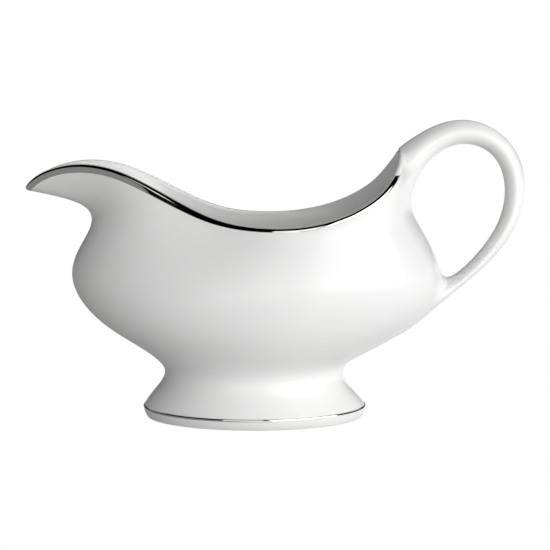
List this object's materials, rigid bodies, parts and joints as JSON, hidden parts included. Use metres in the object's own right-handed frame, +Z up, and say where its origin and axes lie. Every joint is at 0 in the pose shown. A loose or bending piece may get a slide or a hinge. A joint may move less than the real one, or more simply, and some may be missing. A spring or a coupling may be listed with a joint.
{
  "type": "footed sauce boat",
  "caption": "Glazed white china sauce boat with a long beaked spout, a loop handle, a flared oval foot and platinum lustre bands.",
  "frame": {"origin": "on the table, under the middle of the whole object's length and width", "axes": "+Z up, +X towards the handle, the spout points to -X, and Y = 0 is the mirror plane"},
  "size_m": [0.2232, 0.095, 0.1337],
  "materials": {
    "china_glaze": "clear gloss glaze over white bone china",
    "platinum_lustre": "bright fired platinum lustre"
  },
  "bodies": {
    "root": {"bowl": "china_glaze", "pedestal_foot": "china_glaze", "handle": "china_glaze", "rim_band": "platinum_lustre", "foot_band": "platinum_lustre"}
  },
  "joints": []
}
